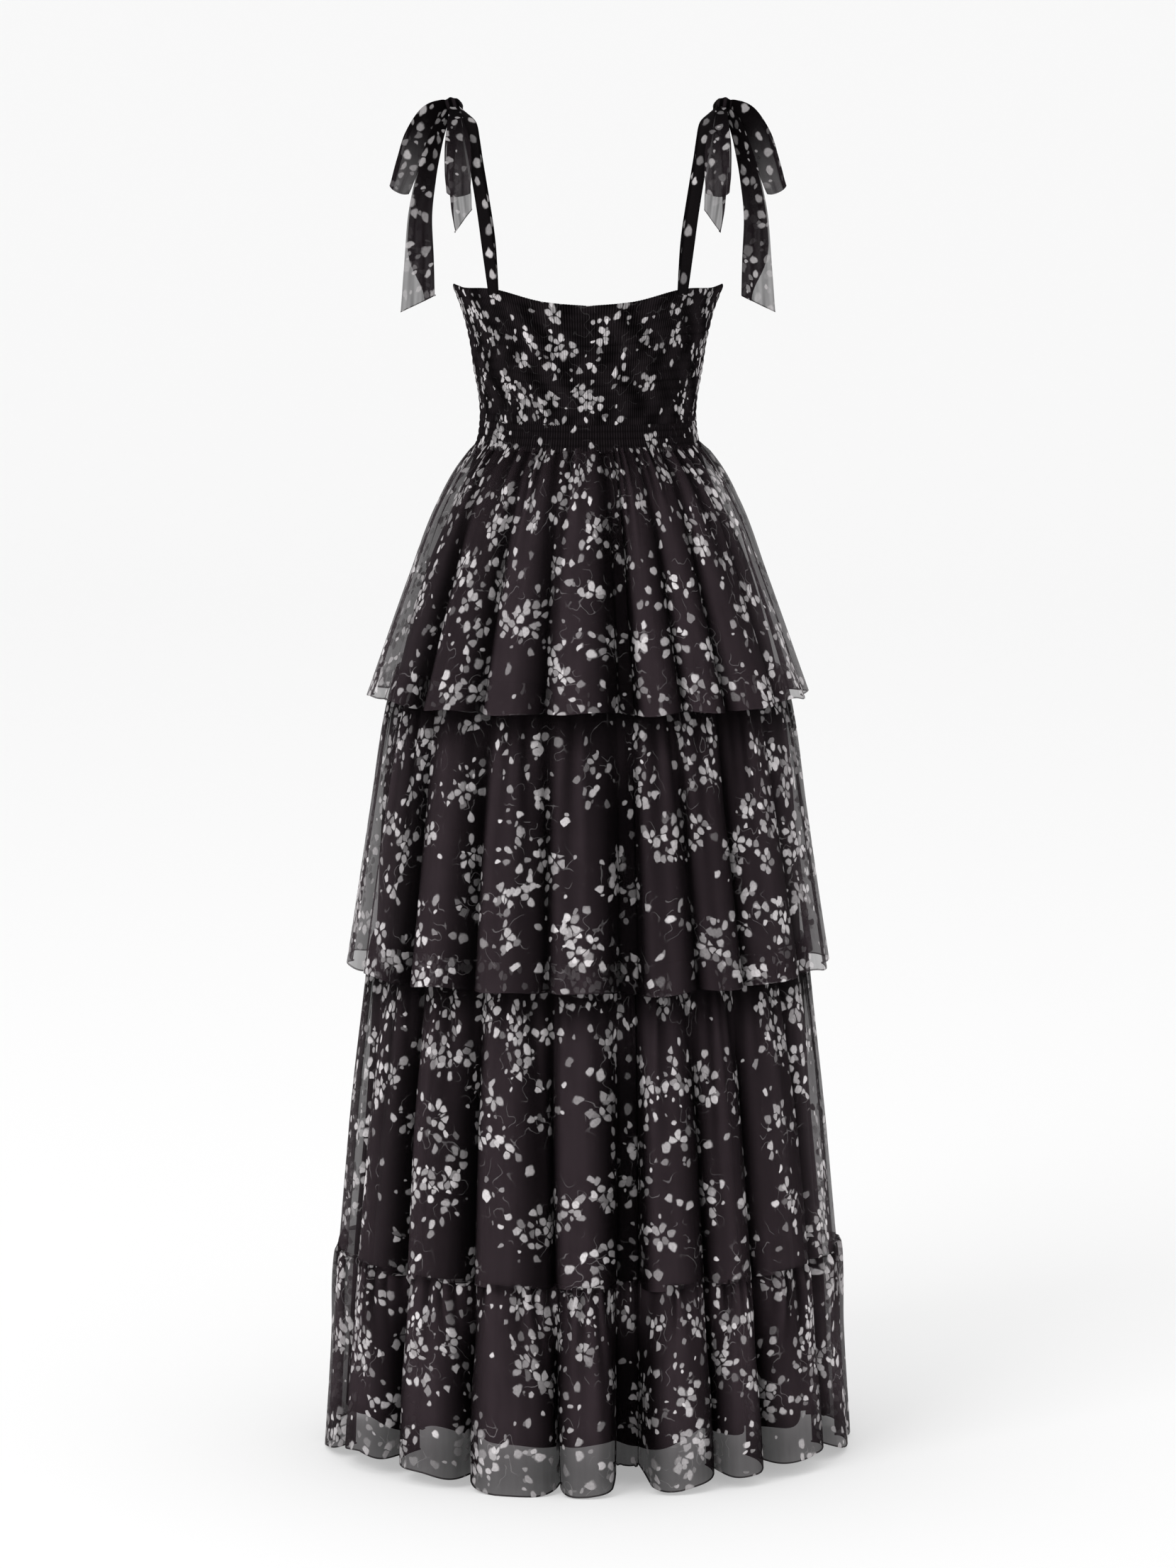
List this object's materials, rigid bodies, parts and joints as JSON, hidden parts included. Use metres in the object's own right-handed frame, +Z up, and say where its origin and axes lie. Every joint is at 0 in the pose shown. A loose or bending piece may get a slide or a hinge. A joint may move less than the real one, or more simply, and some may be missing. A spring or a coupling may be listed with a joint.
{
  "type": "sundress",
  "caption": "Sleeveless tiered maxi sundress in black floral chiffon with a smocked back, gathered tiers, a hem ruffle and shoulder straps tied in bows.",
  "frame": {"origin": "Midway between the two shoulder knots, on the line where the straps cross the wearer's shoulders.", "axes": "Z up along the body, Y to the wearer's front, X to the wearer's right. The pictured back faces -Y."},
  "size_m": [0.5718, 0.5098, 1.431],
  "materials": {
    "black_floral_chiffon": "matt sheer woven chiffon with a small pale grey flower print",
    "black_lining": "opaque plain woven lining with a faint sheen"
  },
  "bodies": {
    "root": {"bodice_back": "black_floral_chiffon", "bodice_front": "black_floral_chiffon", "waistband": "black_floral_chiffon", "tier_1": "black_floral_chiffon", "tier_2": "black_floral_chiffon", "tier_3": "black_floral_chiffon", "hem_ruffle": "black_floral_chiffon", "lining": "black_lining", "strap_back_left": "black_floral_chiffon", "strap_front_left": "black_floral_chiffon", "knot_left": "black_floral_chiffon", "bow_loop_outer_left": "black_floral_chiffon", "bow_loop_inner_left": "black_floral_chiffon", "bow_tail_outer_left": "black_floral_chiffon", "bow_tail_inner_left": "black_floral_chiffon", "strap_back_right": "black_floral_chiffon", "strap_front_right": "black_floral_chiffon", "knot_right": "black_floral_chiffon", "bow_loop_outer_right": "black_floral_chiffon", "bow_loop_inner_right": "black_floral_chiffon", "bow_tail_outer_right": "black_floral_chiffon", "bow_tail_inner_right": "black_floral_chiffon"}
  },
  "joints": []
}
